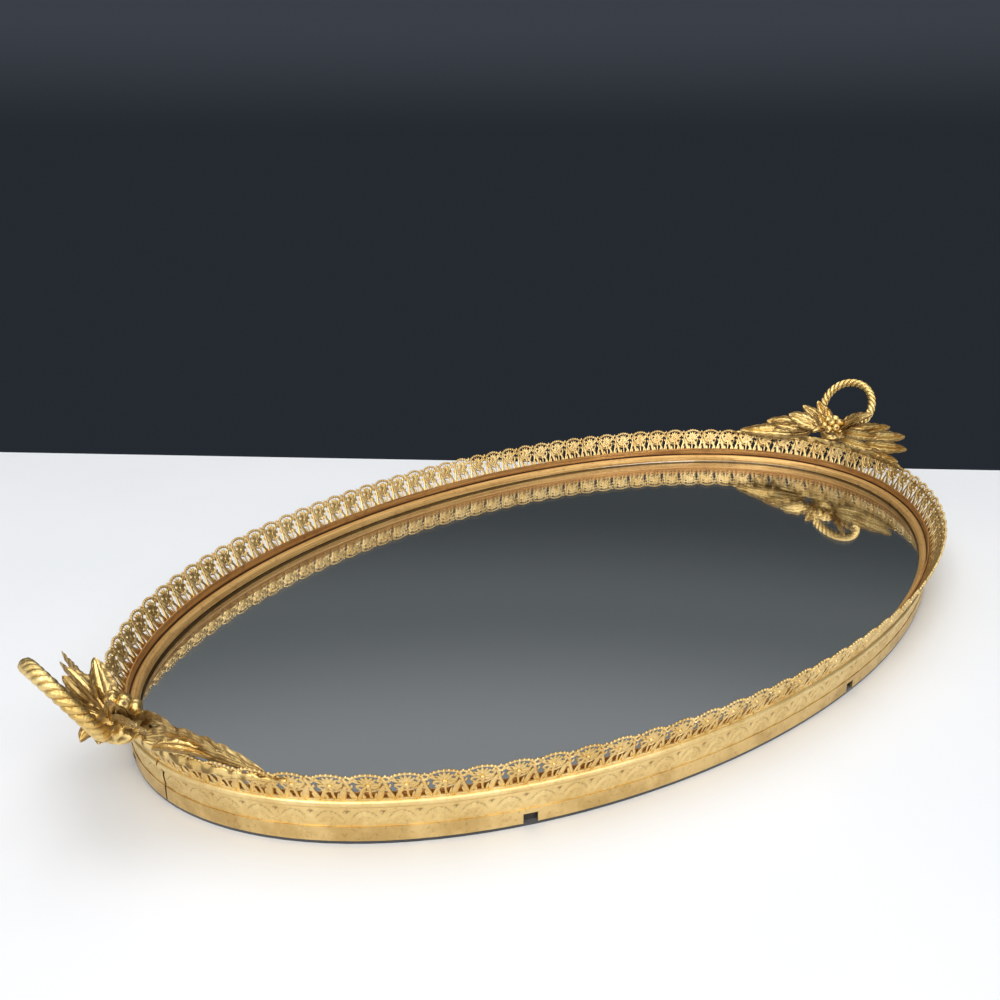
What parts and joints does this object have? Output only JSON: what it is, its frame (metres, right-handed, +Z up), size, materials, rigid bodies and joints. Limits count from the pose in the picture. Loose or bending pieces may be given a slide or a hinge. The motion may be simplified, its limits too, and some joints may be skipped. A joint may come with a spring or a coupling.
{
  "type": "dresser vanity tray",
  "caption": "Oval mirrored vanity tray with a stamped brass rim, pierced gallery and a rope-ring handle with leaves and berries at each end.",
  "frame": {"origin": "on the surface the tray stands on, in the middle of the oval", "axes": "+Z up, +X along the length towards the right-hand handle, +Y across"},
  "size_m": [0.4964, 0.2688, 0.0626],
  "materials": {
    "gilt_brass": "gilt, lightly worn, satin",
    "pale_gilt": "pierced and stamped, tarnished in the recesses",
    "aged_gilt": "antique brown-gold, rubbed",
    "cast_gilt": "cast, dark in the recesses",
    "glass": "clear plate glass",
    "silvering": "mirror coat",
    "paper": "kraft paper",
    "packing": "corrugated board",
    "board": "dark pressed board",
    "felt": "black felt"
  },
  "bodies": {
    "root": {"base_felt": "felt", "base_board": "board", "packing_board": "packing", "cushion_paper": "paper", "mirror_silvering": "silvering", "mirror_glass": "glass", "foot_ribbon": "gilt_brass", "backing_clips": "gilt_brass", "embossed_band": "gilt_brass", "seam_lap": "gilt_brass", "rim_ledge": "aged_gilt", "retaining_bead": "aged_gilt", "pierced_gallery": "pale_gilt", "right_handle_saddle": "cast_gilt", "right_handle_knot": "cast_gilt", "right_rope_ring": "cast_gilt", "right_curled_leaf": "cast_gilt", "right_upper_leaves": "cast_gilt", "right_side_leaves": "cast_gilt", "right_berry_cluster": "cast_gilt", "left_handle_saddle": "cast_gilt", "left_handle_knot": "cast_gilt", "left_rope_ring": "cast_gilt", "left_curled_leaf": "cast_gilt", "left_upper_leaves": "cast_gilt", "left_side_leaves": "cast_gilt", "left_berry_cluster": "cast_gilt"}
  },
  "joints": []
}
